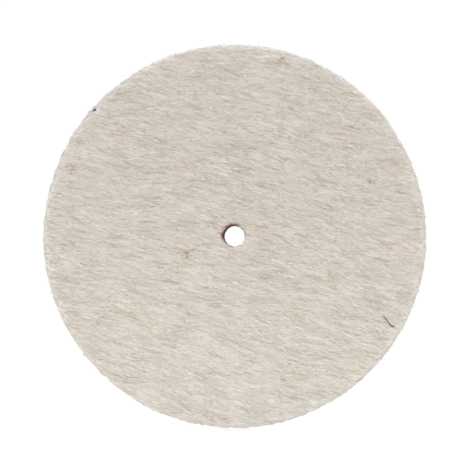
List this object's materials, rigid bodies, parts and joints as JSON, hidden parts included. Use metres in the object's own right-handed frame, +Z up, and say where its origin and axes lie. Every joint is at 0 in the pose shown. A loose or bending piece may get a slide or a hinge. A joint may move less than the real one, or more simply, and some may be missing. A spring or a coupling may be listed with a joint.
{
  "type": "felt polishing wheel",
  "caption": "Flat round wheel of hard pressed wool felt with softly rounded rim and a small central arbor hole, for polishing stone, glass or metal.",
  "frame": {"origin": "the wheel's centre: on the axis of the arbor hole, halfway through the felt", "axes": "+Y along the axis that the wheel spins about, from the front face to the back face; the front face looks along -Y; +Z up"},
  "size_m": [0.1524, 0.0126, 0.1524],
  "materials": {
    "wool_felt": "undyed pressed wool felt, dull, with a fine hairy nap that lies mostly one way"
  },
  "bodies": {
    "root": {"felt_disc": "wool_felt"}
  },
  "joints": []
}
